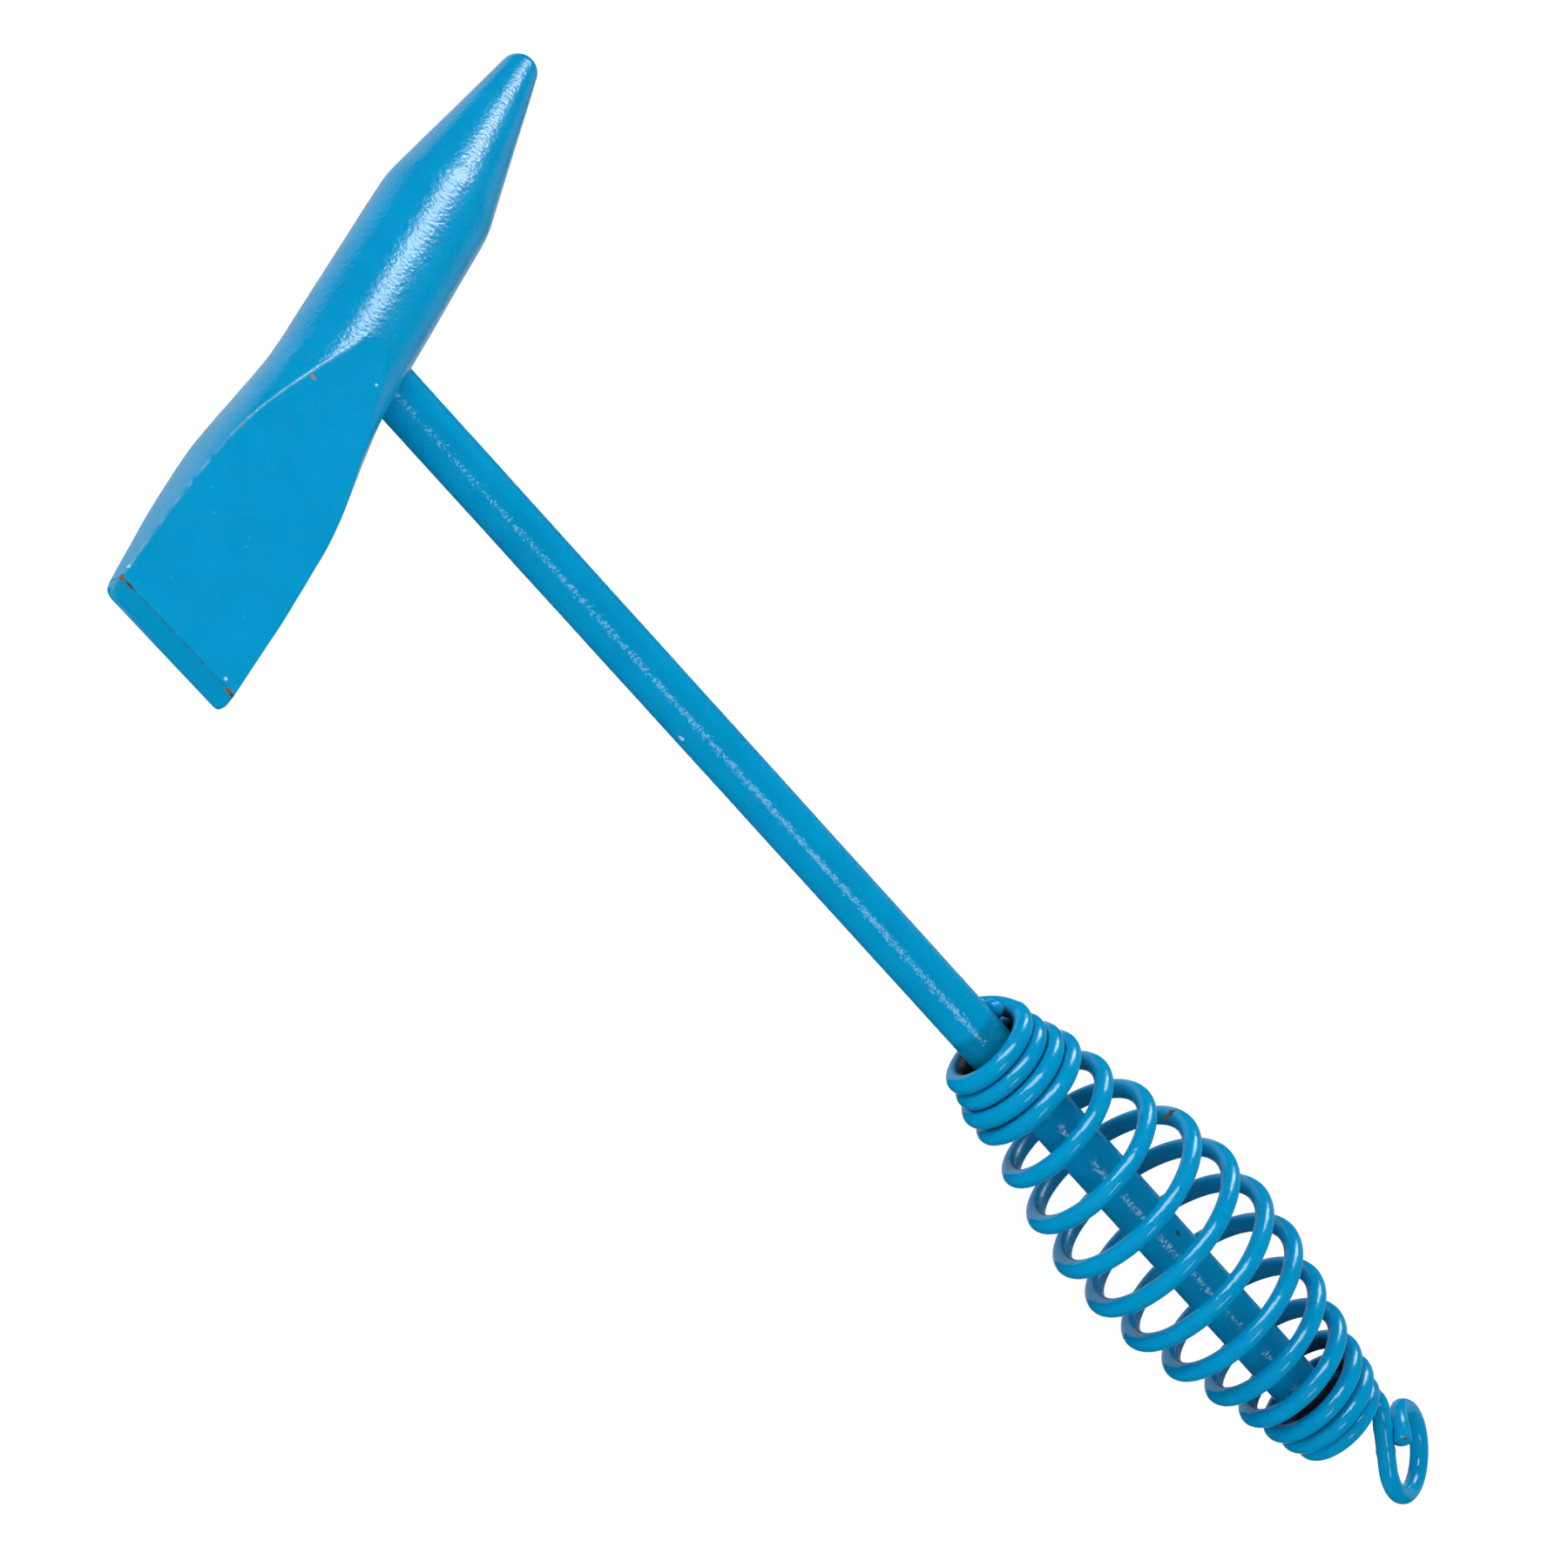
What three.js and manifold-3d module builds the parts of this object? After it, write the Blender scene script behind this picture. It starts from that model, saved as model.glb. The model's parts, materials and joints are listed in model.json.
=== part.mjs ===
// Chipping hammer with a barrel-shaped wire spring grip, in millimetres.
//
// The parts are drawn in the hammer's own axes: the rod runs along +X from the head to the grip,
// the head runs along Y with its point at +Y and its chisel at -Y, and the chisel's flat faces look
// along +Z and -Z. At the end the whole hammer is laid down on Z = 0, where it touches the table
// with the round body of its head and with the widest turn of its grip.
import * as THREE from 'three';
import { mergeVertices } from 'three/addons/utils/BufferGeometryUtils.js';
import Module from 'manifold-3d';

const wasm = await Module();
wasm.setup();

const DEGREE = Math.PI / 180;

// Handle rod
const ROD_RADIUS = 4.6;
const ROD_BORE_DEPTH = 17;
const ROD_FREE_END = 263;
const ROD_END_ROUNDING = 1.6;
const ROD_SIDES = 36;
const FIT_GAP = 0.3;

// Head
const BODY_RADIUS = 10.4;
const BODY_TAPER = 0.009;
const CONE_BASE = 37.5;
const CONE_SLOPE = 0.165;
const POINT_END = 80.5;
const POINT_ROUNDING = 3.4;
const BLADE_START = -3;
const BLADE_END = -79.2;
const BLADE_FLARE = 2.4;
const BLADE_SQUARENESS = 1.1;
const BLADE_CORNER_RADIUS = 1.5;
const BEVEL_START = -76;
const BEVEL_HALF_THICKNESS = 1.5;
const EDGE_HALF_THICKNESS = 0.35;
const EDGE_CORNER_STATIONS = 3;
const FACE_SLOPE = 0.126;
const SLAB_MARGIN = 4;
const HEAD_SIDES = 40;
const POINT_STATIONS = 4;
const BLADE_STATIONS = 20;

// Spring wire
const WIRE_RADIUS = 1.72;
const COLLAR_X = 169.8;
const CLOSED_PITCH = 3.46;
const OPEN_PITCH = 9.85;
const OPENING = [2.6, 4.5];
const CLOSING = [9.7, 13.7];
const COIL_START = 0.19;
const COLLAR_TURNS = 3.0;
const BODY_TURNS = 12.55;
const LAST_TURN = 15.13;
const GRIP_LEAN = 0.0225;
// The wire's three lengths meet end to end with this much between them.
const WIRE_GAP = 0.45;

// Radius of the wire's centre line at a few turns along the grip: a conical collar, a barrel and a
// conical end.
const GRIP_PROFILE = [
  [-0.5, 7.28], [0.1, 7.78], [0.6, 8.28], [1.1, 8.18], [1.6, 8.88], [2.1, 9.18], [2.6, 10.18],
  [3.3, 10.28], [5.0, 13.18], [6.6, 16.48], [8.0, 16.98], [9.2, 15.88], [10.6, 12.78],
  [12.2, 10.18], [13.4, 8.98], [14.5, 7.63], [15.6, 7.28],
];

// The wire's first end starts against the far side of the rod, where it is welded, and climbs into
// the first turn: distance from the head's centre, distance from the rod's centre, turns round it.
const WELDED_END = [
  [165.8, 6.5, -0.07], [166.9, 6.9, -0.02], [168.1, 7.3, 0.03], [169.3, 7.6, 0.08],
  [170.1, 7.8, 0.13],
];
const WELD_CENTRE = [166.3, 5.9, -0.03];
const WELD_LENGTH = 3.4;
const WELD_WIDTH = 2.7;
const WELD_HEIGHT = 2.3;
const WELD_SIDES = 20;
const WELD_ROWS = 14;

// Hanging eye at the end of the wire
const EYE_CENTRE = new THREE.Vector3(288.95, 9.3, -0.05);
const EYE_RADIUS = 7.93;
const EYE_PITCH = 21.5 * DEGREE;
const EYE_FROM = -128 * DEGREE;
const EYE_TO = 210 * DEGREE;
const EYE_LIFT_FROM = 150 * DEGREE;
const EYE_END_LIFT = 3.1;
// Straight run from the last turn to the eye: reach and side in the eye's plane, from its centre.
const EYE_RUN = [[-13.8, -1.9], [-11.4, -2.9], [-8.6, -4.4]];

// The hammer rests on this turn of the grip and on the round body of its head.
const GRIP_BELLY_TURN = 7.75;

const PAINT = { blue: 0x0298d0, roughness: 0.42, metalness: 0.0 };
const WIRE_SIDES = 8;
const TIGHT_STEP = 2.2;
const WIDE_STEP = 4.2;
const POINTS_PER_TURN = 16;
const ARC_DIVISIONS = 1600;
const CLIMB_STEP = 1 / 40;

const unit = (from, to, value) => Math.min(Math.max((value - from) / (to - from), 0), 1);
const ease = (from, to, value) => {
  const u = unit(from, to, value);
  return u * u * (3 - 2 * u);
};

// ---------------------------------------------------------------- joins and cuts

function toSolid(geometry) {
  const bare = geometry.clone();
  bare.deleteAttribute('normal');
  bare.deleteAttribute('uv');
  const merged = mergeVertices(bare, 1e-4);
  const vertProperties = new Float32Array(merged.attributes.position.array);
  const triVerts = new Uint32Array(merged.index.array);
  return new wasm.Manifold(new wasm.Mesh({ numProp: 3, vertProperties, triVerts }));
}

function toGeometry(solid) {
  const mesh = solid.getMesh();
  const geometry = new THREE.BufferGeometry();
  geometry.setAttribute('position', new THREE.BufferAttribute(new Float32Array(mesh.vertProperties), 3));
  geometry.setIndex(new THREE.BufferAttribute(new Uint32Array(mesh.triVerts), 1));
  geometry.computeVertexNormals();
  return geometry;
}

function makePart(name, geometry) {
  const material = new THREE.MeshStandardMaterial({
    color: PAINT.blue, roughness: PAINT.roughness, metalness: PAINT.metalness,
  });
  const mesh = new THREE.Mesh(geometry, material);
  mesh.name = name;
  return mesh;
}

// ---------------------------------------------------------------- head

const bodyRadiusAt = (y) => BODY_RADIUS - BODY_TAPER * y;
const bladeHalfThickness = (y) => BEVEL_HALF_THICKNESS + (y - BEVEL_START) * FACE_SLOPE;

// How far the forged sides of the blade stand out from the round bar, as the bar is flattened.
function bladeHalfWidth(y) {
  const flare = BLADE_FLARE * ease(-8, -44, y);
  const squareness = 2 + BLADE_SQUARENESS * ease(-8, -60, y);
  const intoCorner = Math.max(BLADE_END + BLADE_CORNER_RADIUS - y, 0);
  const cornerTrim = BLADE_CORNER_RADIUS - Math.sqrt(BLADE_CORNER_RADIUS ** 2 - intoCorner ** 2);
  return { half: bodyRadiusAt(y) + flare - cornerTrim, squareness };
}

// The outline that is turned about Y: rounded point, cone, round body and the bar under the blade.
function headProfile() {
  const points = [new THREE.Vector2(0, POINT_END)];
  const coneAngle = Math.atan(CONE_SLOPE);
  const centre = POINT_END - POINT_ROUNDING;
  for (let i = 1; i <= POINT_STATIONS; i++) {
    const angle = (i / POINT_STATIONS) * (Math.PI / 2 - coneAngle);
    const radius = POINT_ROUNDING * Math.sin(angle);
    points.push(new THREE.Vector2(radius, centre + POINT_ROUNDING * Math.cos(angle)));
  }
  points.push(new THREE.Vector2(bodyRadiusAt(CONE_BASE), CONE_BASE));
  const cornerStart = BLADE_END + BLADE_CORNER_RADIUS;
  for (let i = 0; i <= BLADE_STATIONS; i++) {
    const y = BLADE_START + (cornerStart - BLADE_START) * i / BLADE_STATIONS;
    points.push(new THREE.Vector2(bodyRadiusAt(y), y));
  }
  for (let i = 1; i <= EDGE_CORNER_STATIONS; i++) {
    const angle = (i / EDGE_CORNER_STATIONS) * (Math.PI / 2);
    const y = cornerStart - BLADE_CORNER_RADIUS * Math.sin(angle);
    points.push(new THREE.Vector2(bodyRadiusAt(y), y));
  }
  points.push(new THREE.Vector2(0, BLADE_END));
  return points.reverse();
}

// Below the round body each ring of the bar is drawn out into a wide, squarer section.
function forgeBlade(geometry) {
  const position = geometry.attributes.position;
  for (let i = 0; i < position.count; i++) {
    const y = position.getY(i);
    if (y > BLADE_START) continue;
    const x = position.getX(i);
    const z = position.getZ(i);
    const radius = Math.hypot(x, z);
    if (radius < 1e-6) continue;
    const { half, squareness } = bladeHalfWidth(y);
    const power = 2 / squareness;
    position.setX(i, half * Math.sign(x) * Math.abs(x / radius) ** power);
    position.setZ(i, bodyRadiusAt(y) * Math.sign(z) * Math.abs(z / radius) ** power);
  }
  return geometry;
}

// Side view of the head: a slab round the whole head that narrows to the chisel's edge.
function wedgeSlab() {
  const top = POINT_END + SLAB_MARGIN;
  const widest = BODY_RADIUS + SLAB_MARGIN;
  const thick = bladeHalfThickness(BEVEL_START);
  const rise = BEVEL_START + (widest - BEVEL_HALF_THICKNESS) / FACE_SLOPE;
  const shape = new THREE.Shape([
    new THREE.Vector2(BLADE_END, -EDGE_HALF_THICKNESS),
    new THREE.Vector2(BEVEL_START, -thick),
    new THREE.Vector2(rise, -widest),
    new THREE.Vector2(top, -widest),
    new THREE.Vector2(top, widest),
    new THREE.Vector2(rise, widest),
    new THREE.Vector2(BEVEL_START, thick),
    new THREE.Vector2(BLADE_END, EDGE_HALF_THICKNESS),
  ]);
  const width = 4 * BODY_RADIUS;
  const slab = new THREE.ExtrudeGeometry(shape, { depth: width, bevelEnabled: false });
  slab.translate(0, 0, -width / 2);
  // The shape's own x and y become the hammer's Y and Z.
  slab.applyMatrix4(new THREE.Matrix4().makeBasis(
    new THREE.Vector3(0, 1, 0), new THREE.Vector3(0, 0, 1), new THREE.Vector3(1, 0, 0)));
  return slab;
}

function makeHead() {
  const bar = forgeBlade(new THREE.LatheGeometry(headProfile(), HEAD_SIDES));
  const bore = new THREE.CylinderGeometry(
    ROD_RADIUS + FIT_GAP, ROD_RADIUS + FIT_GAP, 2 * BODY_RADIUS, ROD_SIDES);
  bore.rotateZ(Math.PI / 2);
  bore.translate(2 * BODY_RADIUS - ROD_BORE_DEPTH, 0, 0);
  const solid = toSolid(bar).intersect(toSolid(wedgeSlab())).subtract(toSolid(bore));
  return makePart('hammer_head', toGeometry(solid));
}

// ---------------------------------------------------------------- rod

function makeRod() {
  const start = BODY_RADIUS - ROD_BORE_DEPTH + FIT_GAP;
  const profile = [new THREE.Vector2(0, start), new THREE.Vector2(ROD_RADIUS, start)];
  for (const angle of [0, 45, 90]) {
    profile.push(new THREE.Vector2(
      ROD_RADIUS - ROD_END_ROUNDING * (1 - Math.cos(angle * DEGREE)),
      ROD_FREE_END - ROD_END_ROUNDING * (1 - Math.sin(angle * DEGREE))));
  }
  profile.push(new THREE.Vector2(0, ROD_FREE_END));
  const geometry = new THREE.LatheGeometry(profile, ROD_SIDES);
  geometry.rotateZ(-Math.PI / 2);
  return makePart('handle_rod', geometry);
}

// ---------------------------------------------------------------- grip spring

const gripRadii = new THREE.SplineCurve(
  GRIP_PROFILE.map(([turn, radius]) => new THREE.Vector2(turn, radius)));

// Radius of the centre line at a turn: the profile is read by bisection, as its turns only rise.
function gripRadius(turn) {
  let low = 0;
  let high = 1;
  for (let i = 0; i < 30; i++) {
    const middle = (low + high) / 2;
    if (gripRadii.getPoint(middle).x < turn) low = middle;
    else high = middle;
  }
  return gripRadii.getPoint(low).y;
}

function pitchAt(turn) {
  const openness = ease(OPENING[0], OPENING[1], turn) * (1 - ease(CLOSING[0], CLOSING[1], turn));
  return CLOSED_PITCH + (OPEN_PITCH - CLOSED_PITCH) * openness;
}

// Distance along the rod that the wire has climbed, at each step of a part of a turn.
const climb = [0];
for (let turn = 0; turn < LAST_TURN + 1; turn += CLIMB_STEP) {
  climb.push(climb[climb.length - 1] + pitchAt(turn + CLIMB_STEP / 2) * CLIMB_STEP);
}

function gripX(turn) {
  if (turn < 0) return COLLAR_X + CLOSED_PITCH * turn;
  const index = Math.floor(turn / CLIMB_STEP);
  const part = turn / CLIMB_STEP - index;
  return COLLAR_X + climb[index] + (climb[index + 1] - climb[index]) * part;
}

// Centre line of the wire: it turns from +Y over +Z as it climbs away from the head.
function coilPoint(turn) {
  const angle = 2 * Math.PI * turn;
  const radius = gripRadius(turn);
  const x = gripX(turn);
  const lean = GRIP_LEAN * (x - COLLAR_X);
  return new THREE.Vector3(x, radius * Math.cos(angle) + lean, radius * Math.sin(angle));
}

class Coil extends THREE.Curve {
  constructor(from, to) {
    super();
    this.from = from;
    this.to = to;
    this.arcLengthDivisions = ARC_DIVISIONS;
  }

  getPoint(t, target = new THREE.Vector3()) {
    return target.copy(coilPoint(this.from + (this.to - this.from) * t));
  }
}

// Part of a turn that the gap between two lengths of wire takes up.
const wireGapTurns = (turn) => WIRE_GAP / (2 * Math.PI * gripRadius(turn));

function smoothCurve(points) {
  const curve = new THREE.CatmullRomCurve3(points, false, 'centripetal');
  curve.arcLengthDivisions = ARC_DIVISIONS;
  return curve;
}

// Round wire along a curve, in steps of about the length given.
function wireAlong(curve, stepLength, wireRadius = WIRE_RADIUS) {
  const section = new THREE.Shape();
  for (let i = 0; i < WIRE_SIDES; i++) {
    const angle = 2 * Math.PI * i / WIRE_SIDES;
    const x = wireRadius * Math.cos(angle);
    const y = wireRadius * Math.sin(angle);
    if (i === 0) section.moveTo(x, y);
    else section.lineTo(x, y);
  }
  section.closePath();
  const steps = Math.round(curve.getLength() / stepLength);
  return new THREE.ExtrudeGeometry(section, { steps, extrudePath: curve, bevelEnabled: false });
}

// Point at a distance from the head, a distance from the rod's centre and a turn round the rod.
function roundRod([x, radius, turn]) {
  const angle = 2 * Math.PI * turn;
  return new THREE.Vector3(x, radius * Math.cos(angle), radius * Math.sin(angle));
}

function collarPoints() {
  const points = WELDED_END.map(roundRod);
  const step = 1 / POINTS_PER_TURN;
  for (let turn = COIL_START; turn < COLLAR_TURNS - step / 2; turn += step) {
    points.push(coilPoint(turn));
  }
  points.push(coilPoint(COLLAR_TURNS));
  return points;
}

function makeCollar() {
  return makePart('grip_spring_collar', wireAlong(smoothCurve(collarPoints()), TIGHT_STEP));
}

// Weld bead: a rounded lump round the wire's first end, hollowed out for the rod and the wire.
function makeWeld() {
  const lump = new THREE.SphereGeometry(1, WELD_SIDES, WELD_ROWS);
  lump.scale(WELD_LENGTH, WELD_HEIGHT, WELD_WIDTH);
  lump.rotateX(2 * Math.PI * WELD_CENTRE[2]);
  const centre = roundRod(WELD_CENTRE);
  lump.translate(centre.x, centre.y, centre.z);
  const clearance = ROD_RADIUS + FIT_GAP;
  const rod = new THREE.CylinderGeometry(clearance, clearance, 4 * WELD_LENGTH, ROD_SIDES);
  rod.rotateZ(Math.PI / 2);
  rod.translate(centre.x, 0, 0);
  const wirePoints = collarPoints().slice(0, WELDED_END.length + 1);
  const outward = wirePoints[0].clone().sub(wirePoints[1]).setLength(FIT_GAP);
  wirePoints.unshift(wirePoints[0].clone().add(outward));
  const wire = wireAlong(smoothCurve(wirePoints), TIGHT_STEP / 2, WIRE_RADIUS + FIT_GAP);
  const solid = toSolid(lump).subtract(toSolid(rod)).subtract(toSolid(wire));
  return makePart('collar_weld', toGeometry(solid));
}

function makeBody() {
  const coil = new Coil(COLLAR_TURNS + wireGapTurns(COLLAR_TURNS), BODY_TURNS);
  return makePart('grip_spring_body', wireAlong(coil, WIDE_STEP));
}

// A point in the eye's own plane, which holds the Y direction and pitches down towards the far side.
function eyePoint(reach, side, lift) {
  return new THREE.Vector3(
    EYE_CENTRE.x + reach * Math.cos(EYE_PITCH) + lift * Math.sin(EYE_PITCH),
    EYE_CENTRE.y + side,
    EYE_CENTRE.z - reach * Math.sin(EYE_PITCH) + lift * Math.cos(EYE_PITCH));
}

// Closed end turns, a short straight run and the eye, whose cut end rides up over the run.
function tailCurve() {
  const points = [];
  const step = 1 / POINTS_PER_TURN;
  for (let turn = BODY_TURNS + wireGapTurns(BODY_TURNS); turn < LAST_TURN; turn += step) {
    points.push(coilPoint(turn));
  }
  for (const [reach, side] of EYE_RUN) points.push(eyePoint(reach, side, 0));
  const steps = Math.round(POINTS_PER_TURN * (EYE_TO - EYE_FROM) / (2 * Math.PI));
  for (let i = 0; i <= steps; i++) {
    const angle = EYE_FROM + (EYE_TO - EYE_FROM) * i / steps;
    const lift = EYE_END_LIFT * unit(EYE_LIFT_FROM, EYE_TO, angle);
    points.push(eyePoint(EYE_RADIUS * Math.cos(angle), EYE_RADIUS * Math.sin(angle), lift));
  }
  return smoothCurve(points);
}

function makeTail() {
  return makePart('grip_spring_tail', wireAlong(tailCurve(), TIGHT_STEP));
}

// ---------------------------------------------------------------- hammer

const assembly = new THREE.Group();
assembly.add(makeHead(), makeRod(), makeWeld(), makeCollar(), makeBody(), makeTail());

// Laid down: the head's round body and the widest turn of the grip touch the table together.
const bellyRadius = gripRadius(GRIP_BELLY_TURN) + WIRE_RADIUS;
assembly.rotation.y = -Math.asin((bellyRadius - BODY_RADIUS) / gripX(GRIP_BELLY_TURN));
const box = new THREE.Box3().setFromObject(assembly, true);
const middle = box.getCenter(new THREE.Vector3());
assembly.position.set(-middle.x, -middle.y, -box.min.z);

const hammer = new THREE.Group();
hammer.add(assembly);

export default hammer;
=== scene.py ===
"""Looks of a chipping hammer: a forged head, a round rod and one long wire wound into a grip.

Pieces are drawn in the hammer's own axes, in millimetres, and then placed in the frame: X runs
along the rod from the head to the grip, Y along the head towards its point, and Z is up from the
chisel's flat. The origin is where the rod's centre line crosses the head's.
"""

import json
import math

import bmesh
import bpy
import numpy as np
from mathutils import Matrix, Vector, noise


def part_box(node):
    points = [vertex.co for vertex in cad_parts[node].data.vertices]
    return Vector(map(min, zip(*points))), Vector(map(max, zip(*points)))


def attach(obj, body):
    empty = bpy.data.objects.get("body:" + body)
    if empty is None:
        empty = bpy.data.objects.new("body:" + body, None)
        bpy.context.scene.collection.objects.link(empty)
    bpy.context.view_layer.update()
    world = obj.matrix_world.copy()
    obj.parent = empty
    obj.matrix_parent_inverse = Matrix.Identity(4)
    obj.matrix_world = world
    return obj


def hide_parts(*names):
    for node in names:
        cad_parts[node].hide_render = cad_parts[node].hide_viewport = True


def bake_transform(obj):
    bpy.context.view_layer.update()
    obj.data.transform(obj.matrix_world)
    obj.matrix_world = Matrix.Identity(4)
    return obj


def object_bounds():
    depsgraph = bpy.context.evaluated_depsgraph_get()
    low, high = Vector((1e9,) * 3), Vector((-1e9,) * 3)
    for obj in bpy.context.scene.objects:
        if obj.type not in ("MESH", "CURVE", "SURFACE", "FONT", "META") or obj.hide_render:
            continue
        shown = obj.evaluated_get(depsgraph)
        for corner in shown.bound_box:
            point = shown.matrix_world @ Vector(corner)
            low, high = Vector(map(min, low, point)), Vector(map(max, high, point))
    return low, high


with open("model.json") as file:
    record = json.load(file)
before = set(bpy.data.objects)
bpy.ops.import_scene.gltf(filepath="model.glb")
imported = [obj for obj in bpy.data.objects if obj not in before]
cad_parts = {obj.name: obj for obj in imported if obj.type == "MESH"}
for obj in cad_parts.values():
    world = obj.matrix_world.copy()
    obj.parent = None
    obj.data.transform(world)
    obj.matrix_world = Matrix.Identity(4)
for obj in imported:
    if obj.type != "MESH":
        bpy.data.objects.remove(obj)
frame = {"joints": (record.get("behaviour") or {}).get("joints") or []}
cad_low, cad_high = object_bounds()

MM = 0.001
TAU = 2 * math.pi
TINY = 1e-6

# Rod, in millimetres
ROD_RADIUS = 4.6
ROD_BORE_DEPTH = 17.0
ROD_BORE_SLACK = 0.05
ROD_INNER_GAP = 0.4
ROD_FREE_END = 263.0
ROD_END_ROUNDING = 1.6
ROD_STEP = 1.5
ROD_SIDES = 72
BORE_SIDES = 96
# Unevenness of the rod's radius: its share, then the size and the start of its noise.
ROD_SWELL = 0.004
ROD_RIPPLE = (11.0, 3.1)

# Head, in millimetres
BODY_RADIUS = 10.4
BODY_TAPER = 0.009
CONE_BASE = 37.5
CONE_SLOPE = 0.165
CONE_BASE_ROUNDING = 0.35
POINT_END = 80.5
POINT_ROUNDING = 3.4
BLADE_START = -3.0
BLADE_END = -79.2
BLADE_FLARE = 2.4
BLADE_SQUARENESS = 1.1
BLADE_CORNER_RADIUS = 1.5
# Where the blade starts to flare and has its full width, and where its sides turn square.
FLARING = (-8, -44)
SQUARING = (-8, -60)
BEVEL_START = -76.0
BEVEL_HALF_THICKNESS = 1.5
BEVEL_ROUNDING = 0.04
BEVEL_GROOVE_DEPTH = 0.1
BEVEL_GROOVE_WIDTH = 0.14
EDGE_HALF_THICKNESS = 0.35
EDGE_ROUNDING = 0.12
FACE_SLOPE = 0.126
RIDGE_ROUNDING = 0.16
# Width of the painted highlight along the ridge.
RIDGE_HIGHLIGHT_WIDTH = 0.24
# How far the closer points go each side of the ridge, and the most that may be of the outline there.
RIDGE_SPAN = 0.55
RIDGE_SPAN_SHARE = 0.4
# A ridge beyond this share of the outline counts as here, and so does none: its points crowd together.
NO_RIDGE_AT = 0.97
# How far the closer stations go each side of the cone's base and of the bevel's start.
CONE_BASE_SPAN = 4
BEVEL_SPAN = 0.5
# Hammer marks: how deep they are, how wide, and where their noise starts.
FORGE_MARKS = ((0.11, 13.0, 0.0), (0.035, 4.2, 7.3))
# They grow from a share of their depth on the cone to all of it on the blade, and fade on the bevel.
CONE_MARK_SHARE = 0.35
MARKS_GROW = (30, -20)
MARKS_FADE = (-72, -77)
BEVEL_MARK_LOSS = 0.8

# Spring wire, in millimetres and turns
WIRE_RADIUS = 1.72
WIRE_STEP = 0.85
# Unevenness of the wire's radius: its share, then the size and the start of its noise.
WIRE_UNEVENNESS = 0.012
WIRE_RIPPLE = (5.0, 1.7)
CUT_END_ROUNDING = 0.35
# The coil: where turn zero is along the rod, its pitch, and the turns where it opens and closes.
COLLAR_X = 169.8
CLOSED_PITCH = 3.46
OPEN_PITCH = 9.85
OPENING = (2.6, 4.5)
CLOSING = (9.7, 13.7)
# The collar's last turn is tucked in against the one before: at which turn, over how many, how far.
COLLAR_TUCK = (3.55, 0.35, 0.6)
COIL_START = 0.19
LAST_TURN = 15.13
STEPS_PER_TURN = 16
# How far the coil's middle drifts towards +Y for each millimetre along the rod.
GRIP_LEAN = 0.0225
# Turn and radius of the coil.
GRIP_PROFILE = (
    (-0.5, 7.28), (0.1, 7.78), (0.6, 8.28), (1.1, 8.18), (1.6, 8.88), (2.1, 9.18), (2.6, 10.18),
    (3.3, 10.28), (5.0, 13.18), (6.6, 16.48), (8.0, 16.98), (9.2, 15.88), (10.6, 12.78),
    (12.2, 10.18), (13.4, 8.98), (14.5, 7.63), (15.6, 7.28),
)
# The wire's first stretch, welded to the rod: along the rod, distance from its centre, turns round it.
WELDED_END = (
    (165.8, 6.5, -0.07), (166.9, 6.9, -0.02), (168.1, 7.3, 0.03), (169.3, 7.6, 0.08),
    (170.1, 7.8, 0.13),
)
# The eye lies in a plane that pitches down away from the head, and its last part lifts off that plane.
EYE_CENTRE = (288.95, 9.3, -0.05)
EYE_RADIUS = 7.93
EYE_PITCH = math.radians(21.5)
EYE_FROM = math.radians(-128)
EYE_TO = math.radians(210)
EYE_STEPS = 16
EYE_LIFT_FROM = math.radians(150)
EYE_END_LIFT = 3.1
# The run from the last turn to the eye, from the eye's centre: away from the head, and to the side.
EYE_RUN = ((-13.8, -1.9), (-11.4, -2.9), (-8.6, -4.4))

# Paint on the wire, and the shade painted on it
# Half the gap that paint fills between two turns, and the half gap from which it fills none.
PAINT_FILL = (0.12, 0.3)
# Painted shade in the seams: how squarely the side faces the next turn, and over what gap the shade fades.
SEAM_REACH = (0.86, 0.99)
SEAM_GAP = (0.3, 1.4)
SEAM_DARKNESS = 0.6
# In wire radii: up to how far along the wire is the same turn, and from how far off a turn is no neighbour.
SAME_TURN = 6
FAR_TURN = 9
# How dark the painted shade is on the wire's inner side in the open turns and in the closed ones, which
# sides count as inner, and how far along the rod it takes to change.
INNER_SHADE = 0.35
CLOSED_SHADE = 0.97
INNER_SIDE = (0.1, 0.75)
COLLAR_FADE = 4
END_FADE = 3
# The turns where the collar ends, the grip starts to close, it is closed, and its last turn ends.
SHADE_TURNS = (OPENING[0], 11.3, 12.3, 14.6)

# ------------------------------------------------------------------ frame

head_low, head_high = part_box("hammer_head")
ROD_AXIS = Vector(frame["joints"][0]["axis"]).normalized()
HEAD_AXIS = Vector((0, 1, 0))
UP_AXIS = ROD_AXIS.cross(HEAD_AXIS)
ORIGIN = Vector((
    (head_low.x + head_high.x) / 2,
    head_high.y - POINT_END * MM,
    (head_low.z + head_high.z) / 2,
))
AXES = np.array([ROD_AXIS, HEAD_AXIS, UP_AXIS])


def place(points):
    """Points in the hammer's own axes, in millimetres, as points of the frame, in metres."""
    return np.asarray(points, float) * MM @ AXES + np.array(ORIGIN)


# ------------------------------------------------------------------ camera

LENS = 150
SENSOR = 36
CLIP_END = 20
CAMERA_DISTANCE = 1.1133
CAMERA_AZIMUTH = math.radians(29.555)
CAMERA_ELEVATION = math.radians(38.337)
CAMERA_ROLL = math.radians(68.953)
# The view's centre lies over the rod, at half the hammer's height.
VIEW_CENTRE = (-0.03427, 0.00097)


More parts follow.
